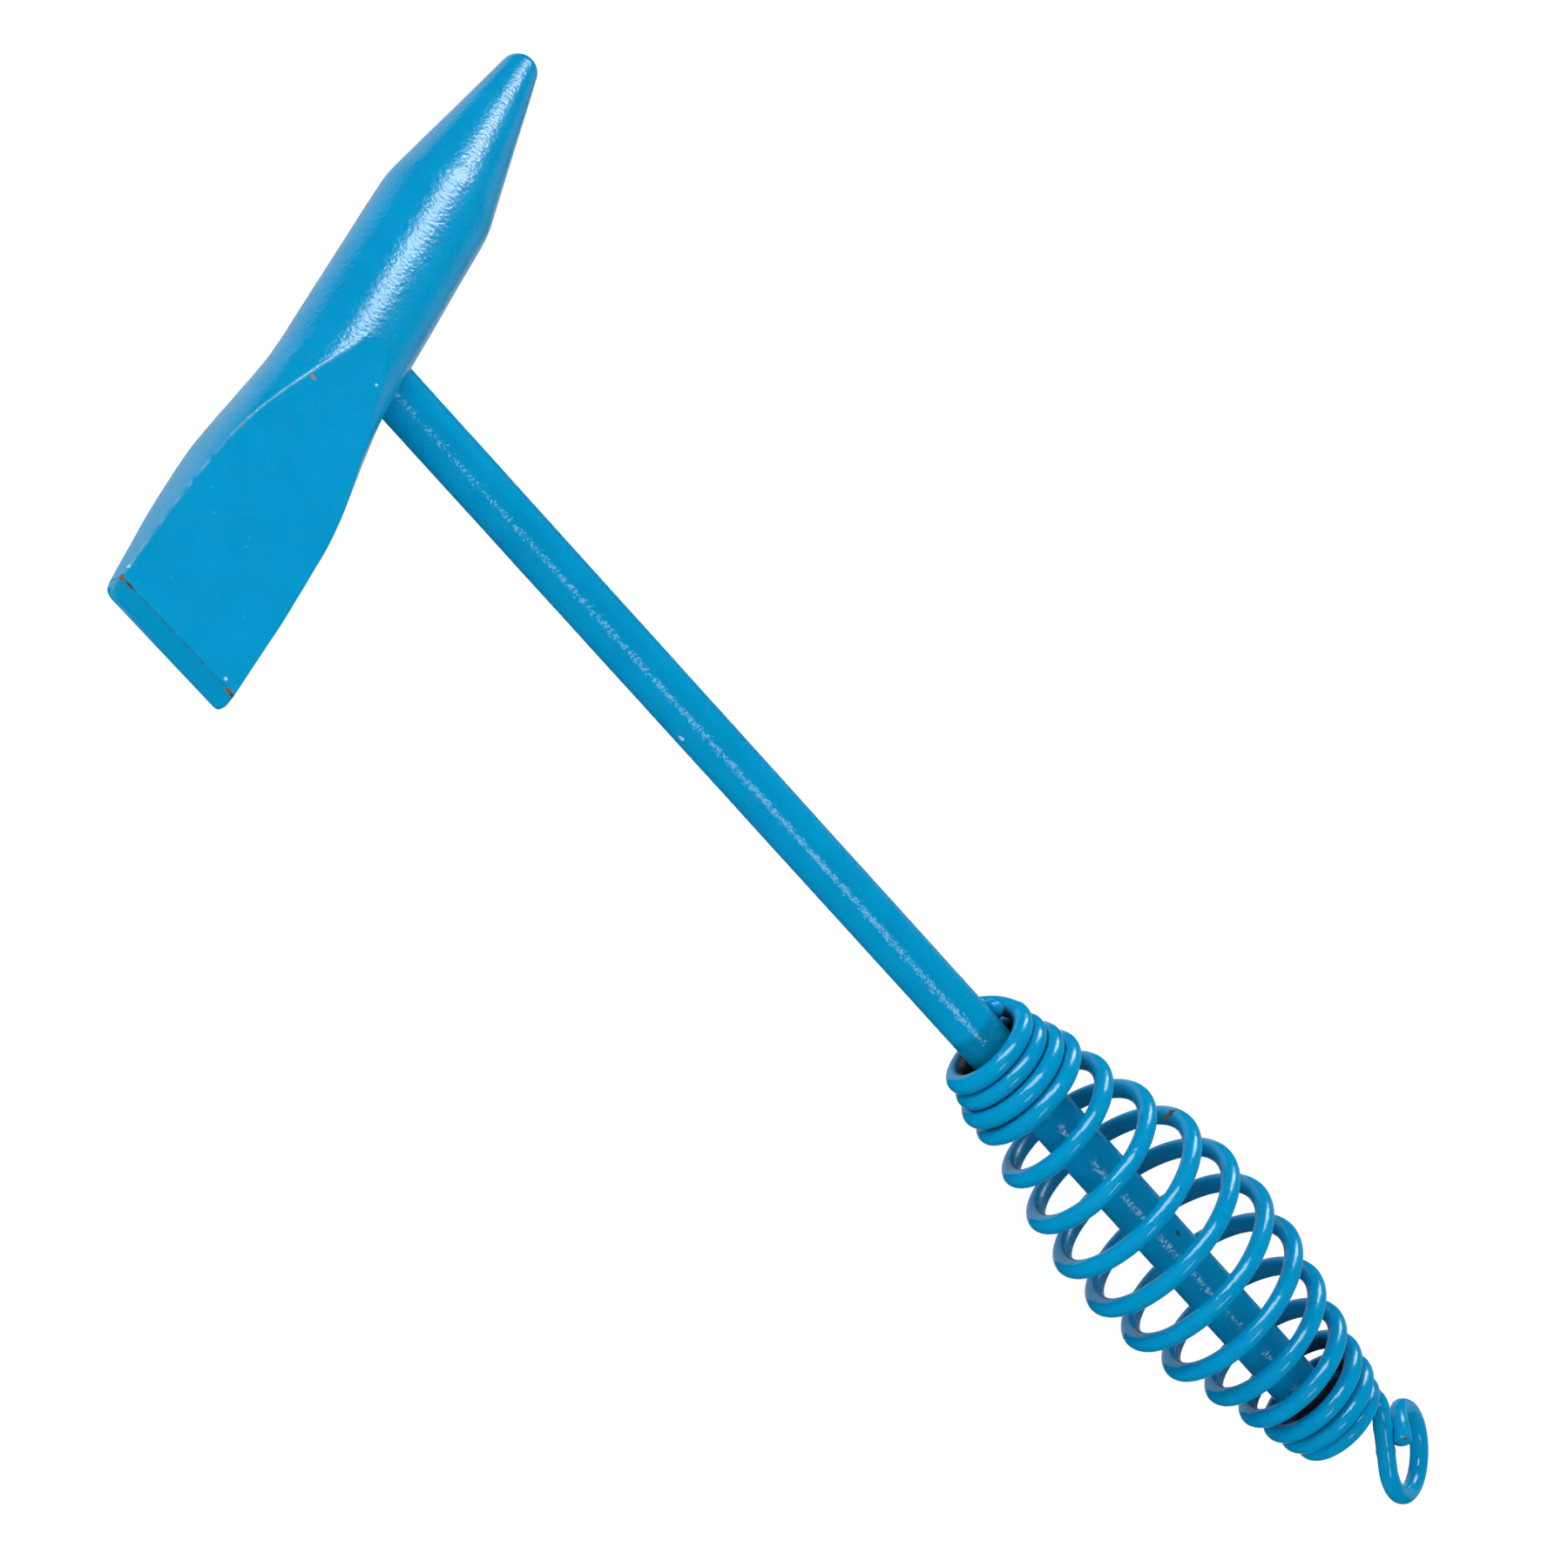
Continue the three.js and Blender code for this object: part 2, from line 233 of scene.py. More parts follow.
def make_camera():
    """The camera at the photograph's angle, rolled about its line of sight."""
    data = bpy.data.cameras.new("camera")
    data.lens = LENS
    data.sensor_width = SENSOR
    data.clip_end = CLIP_END
    camera = bpy.data.objects.new("camera", data)
    bpy.context.scene.collection.objects.link(camera)
    flat = math.cos(CAMERA_ELEVATION)
    look = Vector((
        math.sin(CAMERA_AZIMUTH) * flat, math.cos(CAMERA_AZIMUTH) * flat, -math.sin(CAMERA_ELEVATION),
    ))
    level = look.cross(Vector((0, 0, 1))).normalized()
    rise = level.cross(look)
    right = level * math.cos(CAMERA_ROLL) + rise * math.sin(CAMERA_ROLL)
    up = right.cross(look)
    target = Vector((*VIEW_CENTRE, (cad_low.z + cad_high.z) / 2))
    turned = Matrix((right, up, -look)).transposed().to_4x4()
    camera.matrix_world = Matrix.Translation(target - look * CAMERA_DISTANCE) @ turned
    bpy.context.scene.camera = camera


make_camera()


# ------------------------------------------------------------------ shape helpers

def ease(start, end, value):
    """Zero up to the start and one from the end, with a smooth change between them."""
    u = np.clip((np.asarray(value, float) - start) / (end - start), 0, 1)
    return u * u * (3 - 2 * u)


def soft_min(a, b, width):
    """The smaller of two values, rounded off over a width where they cross."""
    h = np.clip(0.5 + 0.5 * (b - a) / width, 0, 1)
    return b + (a - b) * h - width * h * (1 - h)


def smooth_curve(points, per_span=14):
    """Dense points of a centripetal Catmull-Rom curve through the points given."""
    p = np.asarray(points, float)
    p = np.vstack([2 * p[0] - p[1], p, 2 * p[-1] - p[-2]])
    knots = np.concatenate([[0], np.cumsum(np.linalg.norm(np.diff(p, axis=0), axis=1) ** 0.5)])
    out = []
    for i in range(1, len(p) - 2):
        k0, k1, k2, k3 = knots[i - 1:i + 3]
        t = np.linspace(k1, k2, per_span, endpoint=False)[:, None]
        a1 = (k1 - t) / (k1 - k0) * p[i - 1] + (t - k0) / (k1 - k0) * p[i]
        a2 = (k2 - t) / (k2 - k1) * p[i] + (t - k1) / (k2 - k1) * p[i + 1]
        a3 = (k3 - t) / (k3 - k2) * p[i + 1] + (t - k2) / (k3 - k2) * p[i + 2]
        b1 = (k2 - t) / (k2 - k0) * a1 + (t - k0) / (k2 - k0) * a2
        b2 = (k3 - t) / (k3 - k1) * a2 + (t - k1) / (k3 - k1) * a3
        out.append((k2 - t) / (k2 - k1) * b1 + (t - k1) / (k2 - k1) * b2)
    return np.vstack(out + [p[-2:-1]])


def lengths_along(points):
    """How far along a line each of its points is."""
    return np.concatenate([[0], np.cumsum(np.linalg.norm(np.diff(points, axis=0), axis=1))])


def even_steps(points, step):
    """The same line with points spaced evenly, about a step apart."""
    along = lengths_along(points)
    count = max(2, int(round(along[-1] / step)) + 1)
    at = np.linspace(0, along[-1], count)
    return np.stack([np.interp(at, along, points[:, k]) for k in range(points.shape[1])], axis=1)


def ripple(points, size, seed=0.0):
    """Smooth noise from -1 to 1 at each point, with bumps of about the size given."""
    return np.array([noise.noise(Vector(p) / size + Vector((seed, seed, seed))) for p in points])


def rings_round_rod(xs, radii, sides):
    """Circles round the rod's axis, one at each distance along it."""
    angles = np.linspace(0, TAU, sides, endpoint=False)
    return np.array([
        np.stack([np.full(sides, x), r * np.cos(angles), r * np.sin(angles)], axis=1)
        for x, r in zip(xs, radii)
    ])


def rings_to_mesh(name, rings):
    """A closed body lofted through rings of points, with a fan over each end."""
    count, sides = rings.shape[:2]
    verts = np.vstack([rings.reshape(-1, 3), rings[0].mean(0)[None], rings[-1].mean(0)[None]])
    faces = []
    for i in range(count - 1):
        for j in range(sides):
            k = (j + 1) % sides
            faces.append((i * sides + j, i * sides + k, (i + 1) * sides + k, (i + 1) * sides + j))
    first, last = count * sides, count * sides + 1
    for j in range(sides):
        k = (j + 1) % sides
        faces.append((k, j, first))
        faces.append(((count - 1) * sides + j, (count - 1) * sides + k, last))
    return make_object(name, verts, faces)


def make_object(name, verts, faces):
    """A smooth-shaded piece from points in the hammer's own axes."""
    mesh = bpy.data.meshes.new(name)
    mesh.from_pydata([tuple(v) for v in place(verts)], [], faces)
    mesh.update()
    bm = bmesh.new()
    bm.from_mesh(mesh)
    bmesh.ops.recalc_face_normals(bm, faces=bm.faces)
    bm.to_mesh(mesh)
    bm.free()
    mesh.shade_smooth()
    piece = bpy.data.objects.new(name, mesh)
    bpy.context.scene.collection.objects.link(piece)
    return piece


def apply_modifiers(piece):
    """Makes the modifiers' result the piece's own mesh."""
    graph = bpy.context.evaluated_depsgraph_get()
    mesh = bpy.data.meshes.new_from_object(piece.evaluated_get(graph))
    piece.modifiers.clear()
    piece.data = mesh
    mesh.shade_smooth()


# ------------------------------------------------------------------ head

def body_radius(y):
    """Radius of the head's round body, which widens a little towards the blade."""
    return BODY_RADIUS - BODY_TAPER * y


def outline_radius(y):
    """Radius of the round part of the head: rounded point, cone and body, with a softened corner."""
    cone_angle = math.atan(CONE_SLOPE)
    centre = POINT_END - POINT_ROUNDING
    shoulder = centre + POINT_ROUNDING * math.sin(cone_angle)
    if y > shoulder:
        return math.sqrt(max(POINT_ROUNDING ** 2 - (y - centre) ** 2, 0))
    shoulder_radius = POINT_ROUNDING * math.cos(cone_angle)
    base_radius = body_radius(CONE_BASE)
    cone = shoulder_radius + (shoulder - y) * (base_radius - shoulder_radius) / (shoulder - CONE_BASE)
    return float(soft_min(cone, body_radius(y), CONE_BASE_ROUNDING))


def face_height(y):
    """Half the blade's thickness: forged flats that meet at a slope, then the ground bevel."""
    flat = BEVEL_HALF_THICKNESS + (y - BEVEL_START) * FACE_SLOPE
    bevel_slope = (BEVEL_HALF_THICKNESS - EDGE_HALF_THICKNESS) / (BEVEL_START - BLADE_END)
    bevel = BEVEL_HALF_THICKNESS + (y - BEVEL_START) * bevel_slope
    groove = BEVEL_GROOVE_DEPTH * math.exp(-((y - BEVEL_START) / BEVEL_GROOVE_WIDTH) ** 2)
    return float(soft_min(flat, bevel, BEVEL_ROUNDING)) - groove


def section_reach(y, angle):
    """How far out the head's side and its forged flat are at y, by angle from the side to the top."""
    radius = outline_radius(y)
    half_width = radius
    squareness = 2.0
    if y < BLADE_START:
        corner = max(BLADE_END + BLADE_CORNER_RADIUS - y, 0)
        trim = BLADE_CORNER_RADIUS - math.sqrt(max(BLADE_CORNER_RADIUS ** 2 - corner ** 2, 0))
        half_width = radius + BLADE_FLARE * float(ease(*FLARING, y)) - trim
        squareness = 2 + BLADE_SQUARENESS * float(ease(*SQUARING, y))
    c, s = np.cos(angle), np.sin(angle)
    side = ((c / half_width) ** squareness + (s / radius) ** squareness) ** (-1 / squareness)
    return side, face_height(y) / np.maximum(s, TINY)


def rounded_off(line, step=0.02):
    """The line with its ridge rounded: lengths along it, which run past both ends, and x and z there."""
    along = lengths_along(line)
    length = along[-1]
    reach = 4 * RIDGE_ROUNDING
    at = np.arange(-reach, length + reach, step)
    folded = np.abs(at)
    folded = np.where(folded > length, 2 * length - folded, folded)
    x = np.interp(folded, along, line[:, 0]) * np.where(at > length, -1, 1)
    z = np.interp(folded, along, line[:, 1]) * np.where(at < 0, -1, 1)
    kernel = np.exp(-0.5 * (np.arange(-reach, reach + step / 2, step) / RIDGE_ROUNDING) ** 2)
    kernel /= kernel.sum()
    return at, np.convolve(x, kernel, mode="same"), np.convolve(z, kernel, mode="same")


def head_quarter(y, samples=1400, side_points=16, ridge_points=9, face_points=14):
    """A quarter of the head's outline at y, from the side to the top, as (x, z, share of the ridge's
    painted highlight).
    """
    angle = np.linspace(0, TAU / 4, samples)
    side, flat = section_reach(y, angle)
    reach = np.minimum(side, flat)
    line = np.stack([reach * np.cos(angle), reach * np.sin(angle)], axis=1)
    along = lengths_along(line)
    length = along[-1]
    on_flat = np.nonzero(flat < side)[0]
    has_ridge = len(on_flat) > 0
    ridge_at = min(along[on_flat[0]] if has_ridge else length, length * NO_RIDGE_AT)
    near = min(RIDGE_SPAN, RIDGE_SPAN_SHARE * (length - ridge_at), RIDGE_SPAN_SHARE * ridge_at)
    marks = np.concatenate([
        np.linspace(0, ridge_at - near, side_points, endpoint=False),
        np.linspace(ridge_at - near, ridge_at + near, ridge_points, endpoint=False),
        np.linspace(ridge_at + near, length, face_points),
    ])
    # The ridge's painted highlight, strongest on the ridge itself.
    light_and_grime = np.exp(-((marks - ridge_at) / RIDGE_HIGHLIGHT_WIDTH) ** 2) * has_ridge
    at, x, z = rounded_off(line)
    quarter = np.stack([np.interp(marks, at, x), np.interp(marks, at, z), light_and_grime], axis=1)
    quarter[0, 1] = 0
    quarter[-1, 0] = 0
    return quarter


def head_stations():
    """Places along the head, closer together where it curves or turns a corner."""
    centre = POINT_END - POINT_ROUNDING
    tip = [centre + POINT_ROUNDING * math.cos(a) for a in np.radians(np.linspace(4, 80, 20))]
    edge = BLADE_END + EDGE_ROUNDING
    stops = (
        # the distance along the head that a span ends at, and its number of stations
        (CONE_BASE + CONE_BASE_SPAN, 56), (CONE_BASE - CONE_BASE_SPAN, 20), (0, 40),
        (BEVEL_START + BEVEL_SPAN, 130), (BEVEL_START - BEVEL_SPAN, 13), (edge, 14),
    )
    spans = [tip]
    for end, count in stops:
        spans.append(np.linspace(spans[-1][-1], end, count)[1:])
    spans.append(edge - EDGE_ROUNDING * np.sin(np.radians([20, 45, 70, 90])))
    return np.concatenate(spans)


def head_ring(y):
    """The head's whole outline at y, as (x, y, z, share of the ridge's painted highlight), a little smaller
    at the rounded edge.
    """
    quarter = head_quarter(y)
    top = quarter[::-1] * (-1, 1, 1)
    upper = np.vstack([quarter, top[1:]])
    lower = upper[::-1] * (1, -1, 1)
    x, z, light_and_grime = np.vstack([upper, lower[1:-1]]).T
    past_edge = BLADE_END + EDGE_ROUNDING - y
    if past_edge > 0:
        inward = EDGE_ROUNDING - math.sqrt(max(EDGE_ROUNDING ** 2 - past_edge ** 2, 0))
        z = z * (1 - inward / (2 * EDGE_HALF_THICKNESS))
        x = x * (1 - inward / BODY_RADIUS)
    return np.stack([x, np.full(len(x), y), z, light_and_grime], axis=1)


def forge_marks(rings):
    """Slight unevenness left by the hammering, strongest on the blade, less on the cone and bevel."""
    flat = rings.reshape(-1, 3)
    y = flat[:, 1]
    out = flat * (1, 0, 1)
    out /= np.maximum(np.linalg.norm(out, axis=1)[:, None], TINY)
    depth = sum(deep * ripple(flat, size, seed) for deep, size, seed in FORGE_MARKS)
    depth *= CONE_MARK_SHARE + (1 - CONE_MARK_SHARE) * ease(*MARKS_GROW, y)
    depth *= 1 - BEVEL_MARK_LOSS * ease(*MARKS_FADE, y)
    return (flat + out * depth[:, None]).reshape(rings.shape)


def make_head():
    """The forging, with a painted highlight marked along its ridges and a blind bore for the rod."""
    rings = np.array([head_ring(y) for y in head_stations()])
    head = rings_to_mesh("hammer_head_forged", forge_marks(rings[..., :3]))
    # The ridge's painted highlight is kept on the head for its paint.
    light_and_grime = head.data.attributes.new("ridge_highlight", "FLOAT", "POINT")
    light_and_grime.data.foreach_set("value", np.append(rings[..., 3].ravel(), (0, 0)))
    bore_ends = (BODY_RADIUS - ROD_BORE_DEPTH, 2 * BODY_RADIUS)
    bore = rings_to_mesh("bore", rings_round_rod(bore_ends, [ROD_RADIUS + ROD_BORE_SLACK] * 2, BORE_SIDES))
    cut = head.modifiers.new("bore", "BOOLEAN")
    cut.operation = "DIFFERENCE"
    cut.object = bore
    cut.solver = "EXACT"
    apply_modifiers(head)
    bpy.data.objects.remove(bore)
    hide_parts("hammer_head")
    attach(head, "hammer")
    return head


# ------------------------------------------------------------------ rod

def make_rod():
    """A bar, slightly uneven, with a rounded free end."""
    start = BODY_RADIUS - ROD_BORE_DEPTH + ROD_INNER_GAP
    xs = list(np.arange(start, ROD_FREE_END - ROD_END_ROUNDING, ROD_STEP))
    radii = [ROD_RADIUS] * len(xs)
    for angle in np.radians(np.arange(0, 91, 15)):
        xs.append(ROD_FREE_END - ROD_END_ROUNDING * (1 - math.sin(angle)))
        radii.append(ROD_RADIUS - ROD_END_ROUNDING * (1 - math.cos(angle)))
    rings = rings_round_rod(xs, radii, ROD_SIDES)
    flat = rings.reshape(-1, 3)
    swell = 1 + ROD_SWELL * ripple(flat, *ROD_RIPPLE)
    flat = flat * np.stack([np.ones(len(flat)), swell, swell], axis=1)
    rod = rings_to_mesh("handle_rod_painted", flat.reshape(rings.shape))
    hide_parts("handle_rod")
    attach(rod, "hammer")
    return rod


# ------------------------------------------------------------------ grip spring

def grip_tables():
    """How far along the rod, and how far from it, the wire is at each turn."""
    profile = smooth_curve(GRIP_PROFILE, 60)
    turns = np.linspace(GRIP_PROFILE[0][0], LAST_TURN + 0.2, 4000)
    openness = ease(*OPENING, turns) * (1 - ease(*CLOSING, turns))
    pitch = CLOSED_PITCH + (OPEN_PITCH - CLOSED_PITCH) * openness
    climb = np.concatenate([[0], np.cumsum((pitch[1:] + pitch[:-1]) / 2 * np.diff(turns))])
    climb += COLLAR_X - np.interp(0, turns, climb)
    tucked_turn, spread, tuck = COLLAR_TUCK
    climb -= tuck * np.exp(-((turns - tucked_turn) / spread) ** 2)
    return turns, climb, np.interp(turns, profile[:, 0], profile[:, 1])


TURNS, CLIMB, RADII = grip_tables()


def coil_point(turn):
    """Centre line of the wire, which turns from +Y over +Z as it climbs away from the head."""
    x = np.interp(turn, TURNS, CLIMB)
    radius = np.interp(turn, TURNS, RADII)
    lean = GRIP_LEAN * (x - COLLAR_X)
    return (x, radius * math.cos(TAU * turn) + lean, radius * math.sin(TAU * turn))


def round_rod(x, radius, turn):
    """A point beside the rod, at a part of a turn from +Y over +Z."""
    return (x, radius * math.cos(TAU * turn), radius * math.sin(TAU * turn))


def eye_point(reach, side, lift):
    """A point in the eye's own plane, which holds Y and pitches down away from the head, or off it."""
    return (
        EYE_CENTRE[0] + reach * math.cos(EYE_PITCH) + lift * math.sin(EYE_PITCH),
        EYE_CENTRE[1] + side,
        EYE_CENTRE[2] - reach * math.sin(EYE_PITCH) + lift * math.cos(EYE_PITCH),
    )


def wire_line():
    """The whole wire: welded end, collar, barrel, end turns, short straight run and eye."""
    points = [round_rod(*mark) for mark in WELDED_END]
    points += [coil_point(turn) for turn in np.arange(COIL_START, LAST_TURN, 1 / STEPS_PER_TURN)]
    points += [eye_point(reach, side, 0) for reach, side in EYE_RUN]
    for angle in np.linspace(EYE_FROM, EYE_TO, EYE_STEPS):
        lift = EYE_END_LIFT * float(np.clip((angle - EYE_LIFT_FROM) / (EYE_TO - EYE_LIFT_FROM), 0, 1))
        points.append(eye_point(EYE_RADIUS * math.cos(angle), EYE_RADIUS * math.sin(angle), lift))
    return even_steps(smooth_curve(points), WIRE_STEP)


def carried_frames(line):
    """Two directions across the line at each point, which turn with it and don't twist about it."""
    ahead = np.gradient(line, axis=0)
    ahead /= np.linalg.norm(ahead, axis=1)[:, None]
    side = np.cross(ahead[0], (0, 0, 1))
    side /= np.linalg.norm(side)
    sides = [side]
    for direction in ahead[1:]:
        side = side - direction * (side @ direction)
        side = side / np.linalg.norm(side)
        sides.append(side)
    sides = np.array(sides)
    return sides, np.cross(ahead, sides)


def directions_round(line, sides=26):
    """For each point of a line, the directions to the sides of a tube round it."""
    right, up = carried_frames(line)
    angles = np.linspace(0, TAU, sides, endpoint=False)
    return right[:, None] * np.cos(angles)[None, :, None] + up[:, None] * np.sin(angles)[None, :, None]


def inner_painted_shade(line, around):
    """Painted shade on the inner side of the wire: some inside the grip, near black inside its closed ends.
    """
    inward = -line + np.stack([line[:, 0], GRIP_LEAN * (line[:, 0] - COLLAR_X), 0 * line[:, 2]], axis=1)
    inward /= np.linalg.norm(inward, axis=1)[:, None]
    facing = ease(*INNER_SIDE, (around * inward[:, None]).sum(axis=2))
    x = line[:, 0]
    collar_end, closing, end_start, grip_end = np.interp(SHADE_TURNS, TURNS, CLIMB)
    closed = 1 - ease(collar_end, collar_end + COLLAR_FADE, x) * (1 - ease(closing, end_start, x))
    share = INNER_SHADE + (CLOSED_SHADE - INNER_SHADE) * closed
    return facing * (share * (1 - ease(grip_end, grip_end + END_FADE, x)))[:, None]


def turns_apart(line):
    """How far each point of the wire is from each other one, leaving out its own turn."""
    apart = np.linalg.norm(line[:, None] - line[None], axis=2)
    index = np.arange(len(line))
    apart[np.abs(index[:, None] - index[None]) * WIRE_STEP < SAME_TURN * WIRE_RADIUS] = np.inf
    return apart


def touching_radii(line):
    """Paint fills the seam where one turn all but touches the next, and lets go of wider gaps."""
    fill = np.maximum(turns_apart(line).min(axis=1) / 2 - WIRE_RADIUS, 0)
    return WIRE_RADIUS + fill * (1 - ease(*PAINT_FILL, fill))


def seam_painted_shade(line, around):
    """How dark the painted shade is on each side of the wire where it lies against the turn before or after
    it.
    """
    apart = turns_apart(line)
    offset = line[None, :, 0] - line[:, None, 0]
    shaded = np.zeros(around.shape[:2])
    for side in (-1, 1):
        beyond = np.where(offset * side > 0, apart, np.inf)
        nearest = beyond.argmin(axis=1)
        towards = line[nearest] - line
        towards /= np.maximum(np.linalg.norm(towards, axis=1), WIRE_RADIUS)[:, None]
        facing = ease(*SEAM_REACH, (around * towards[:, None]).sum(axis=2))
        gap = np.minimum(beyond.min(axis=1), FAR_TURN * WIRE_RADIUS) - 2 * WIRE_RADIUS
        shaded = np.maximum(shaded, facing * (1 - ease(*SEAM_GAP, gap))[:, None])
    return SEAM_DARKNESS * shaded


def make_spring():
    """One unbroken wire that stands for the three lengths of the CAD model."""
    line = wire_line()
    radii = touching_radii(line) * (1 + WIRE_UNEVENNESS * ripple(line, *WIRE_RIPPLE))
    # The cut end is square, and its corner is rounded in four short steps.
    ahead = line[-1] - line[-2]
    ahead /= np.linalg.norm(ahead)
    steps = np.radians([25, 50, 75, 90])[:, None]
    line = np.vstack([line, line[-1] + ahead * CUT_END_ROUNDING * np.sin(steps)])
    radii = np.append(radii, radii[-1] - CUT_END_ROUNDING * (1 - np.cos(steps)))
    around = directions_round(line)
    spring = rings_to_mesh("grip_spring_wire", line[:, None] + around * radii[:, None, None])
    # Painted shade inside the grip and in its seams, kept on the wire for its paint.
    shade_and_grime = spring.data.attributes.new("shade_and_grime", "FLOAT", "POINT")
    share = np.maximum(inner_painted_shade(line, around), seam_painted_shade(line, around))
    shade_and_grime.data.foreach_set("value", np.append(share.ravel(), (0, 0)))
    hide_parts("grip_spring_collar", "grip_spring_body", "grip_spring_tail")
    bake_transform(spring)
    return spring


# ------------------------------------------------------------------ weld

WELD_VOXEL = 0.16
WELD_MELTING = 8
WELD_BLOBS = (
    # distance along the rod, distance from its centre, turns round it, and half sizes along, out, round
    (166.6, 5.6, -0.035, 3.0, 1.5, 2.6),
    (168.3, 5.7, 0.02, 1.6, 1.2, 1.9),
    (165.3, 5.6, -0.07, 2.0, 1.6, 2.1),
    (167.2, 5.8, 0.055, 1.9, 1.3, 2.2),
)


def add_ball(verts, faces, centre, half, turn, rows=14, sides=24):
    """Adds a ball with a half size along the rod, out from it and round it."""
    start = len(verts)
    out, around = math.cos(TAU * turn), math.sin(TAU * turn)
    for i in range(rows + 1):
        tilt = math.pi * i / rows
        for j in range(sides):
            a = TAU * j / sides
            along = half[0] * math.cos(tilt)
            away = half[1] * math.sin(tilt) * math.cos(a)
            round_it = half[2] * math.sin(tilt) * math.sin(a)
            verts.append((
                centre[0] + along,
                centre[1] + away * out - round_it * around,
                centre[2] + away * around + round_it * out,
            ))
    for i in range(rows):
        for j in range(sides):
            k = (j + 1) % sides
            row, below = start + i * sides, start + (i + 1) * sides
            faces.append((row + j, row + k, below + k, below + j))


def make_weld():
    """Blobs fused into one bead and melted together."""
    verts, faces = [], []
    for x, radius, turn, *half in WELD_BLOBS:
        add_ball(verts, faces, round_rod(x, radius, turn), half, turn)
    weld = make_object("collar_weld_bead", verts, faces)
    remesh = weld.modifiers.new("fuse", "REMESH")
    remesh.mode = "VOXEL"
    remesh.voxel_size = WELD_VOXEL * MM
    smooth = weld.modifiers.new("melt", "SMOOTH")
    smooth.iterations = WELD_MELTING
    apply_modifiers(weld)
    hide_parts("collar_weld")
    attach(weld, "hammer")
    return weld


# ------------------------------------------------------------------ materials

ENAMEL = (0.0, 0.335, 0.66)
ENAMEL_IOR = 1.36
RUST = (0.23, 0.085, 0.035)
PALE_RUST = (0.34, 0.20, 0.13)
DARK_RUST = (0.07, 0.05, 0.05)
GRIME = (0.0, 0.09, 0.14)
# Pale: worn paint, dust nibs, and the painted highlight along the ridge.
PALE_WEAR_AND_SHEEN = (0.42, 0.72, 0.82)
# Near black: painted shade inside the grip, on the rod and on the wire.
PAINTED_SHADE = (0.004, 0.006, 0.008)

# Each enamel's roughness, and the size and depth of its orange peel, in millimetres.
FINISHES = {
    "head_enamel": (0.15, 0.75, 0.1),
    "rod_enamel": (0.12, 0.8, 0.12),
    "spring_enamel": (0.12, 1.4, 0.06),
    "weld_enamel": (0.14, 1.2, 0.08),
}
# Sizes in millimetres of the clouds of colour, the grain and the patches of gloss.
CLOUD_SIZE = 9.0
GRAIN_SIZE = 0.8
GLOSS_PATCH_SIZE = 3.0
# The part of the noise's range that is spread over the whole change.
MID_NOISE = (0.3, 0.7)
# How bright the deep and the pale enamel are, and how strongly the grain shows.
DEEP = 0.93
PALE = 1.06
GRAIN_STRENGTH = 0.5
# Dust nibs: how far apart they are, in millimetres, their edge as a share of that, and their strength.
SPECK_SPACING = 4.5
SPECK_EDGE = (0.05, 0.03)
SPECK_STRENGTH = 0.12
# Changes of roughness: in the glossiest and dullest patches, where painted shade and groove grime darken
# the paint, and on marks.
GLOSS_CHANGE = (-0.03, 0.04)
DARKENED_DULLNESS = 0.45
MARK_DULLNESS = 0.5
# A mark's edge, in its radii: how far noise shifts it, and where it has faded out and is full.
RAGGEDNESS = 0.7
RAGGED_SIZE = 0.45
MARK_EDGE = (1.1, 0.8)

# Painted highlight along the ridge: where the open side starts across the blade, how strong it is, and the
# size and range of the noise that breaks it up.
OPEN_SIDE = (-2.5, -4.0)
RIDGE_HIGHLIGHT = 0.5
RIDGE_BREAK_SIZE = 2.8
RIDGE_BREAKS = (0.36, 0.64)
# The ground bevel is slightly darker, from just past its start.
BEVEL_FADE = 0.1
BEVEL_SHADE = 0.15
# Grime in the bevel's groove: how far from its middle it ends and is full, the size and range of the
# noise that breaks it up, and how dark it is where it is thinnest and thickest.
GROOVE_LINE = (0.24, 0.08)
GROOVE_PATCH_SIZE = 2.2
GROOVE_PATCHES = (0.36, 0.6)
GROOVE_GRIME = (0.15, 0.8)

# Painted shadow on the rod where the collar and the grip shade it: where it starts and is full, where it is
# past the collar and in it, and how dark it is in those two places.
ROD_SHADOW_START = (164.8, 166.2)
IN_COLLAR = (176.0, 172.0)
ROD_SHADOW_DARKNESS = (0.13, 0.32)

# Chips and specks, in the hammer's own axes: place, radius, how far it is drawn out along X, colour.
HEAD_MARKS = (
    ((-13.2, -76.05, 1.5), 0.6, 1.0, RUST),
    ((-11.4, -76.05, 1.5), 0.3, 4.0, DARK_RUST),
    ((12.3, -76.1, 1.45), 0.4, 2.6, RUST),
    ((13.1, -76.2, 1.4), 0.3, 2.0, DARK_RUST),
    ((-6.35, -20.9, 8.45), 0.42, 1.3, PALE_RUST),
    ((-11.6, -38.3, 6.25), 0.3, 1.0, PALE_RUST),
    ((3.4, -12.3, 9.5), 0.3, 1.0, PALE_WEAR_AND_SHEEN),
    ((10.6, -74.9, 1.6), 0.35, 1.0, PALE_WEAR_AND_SHEEN),
    ((-13.6, -73.6, 1.8), 0.5, 1.0, PALE_WEAR_AND_SHEEN),
)
ROD_MARKS = (
    ((220.4, -0.9, 4.5), 0.5, 1.3, GRIME),
    ((89.0, -4.6, -0.5), 0.45, 1.2, PALE_WEAR_AND_SHEEN),
)
SPRING_MARKS = (
    ((205.3, 13.4, 9.4), 0.8, 1.0, DARK_RUST),
    ((205.9, 13.0, 8.3), 0.7, 1.0, RUST),
    ((206.3, 14.4, 10.1), 0.6, 1.0, RUST),
    ((283.3, 4.5, 6.6), 0.8, 1.0, RUST),
    ((181.0, -9.7, 1.4), 0.5, 1.8, RUST),
    ((220.3, -2.4, 17.6), 0.25, 1.0, GRIME),
    ((240.4, -0.8, 16.9), 0.3, 1.0, GRIME),
)


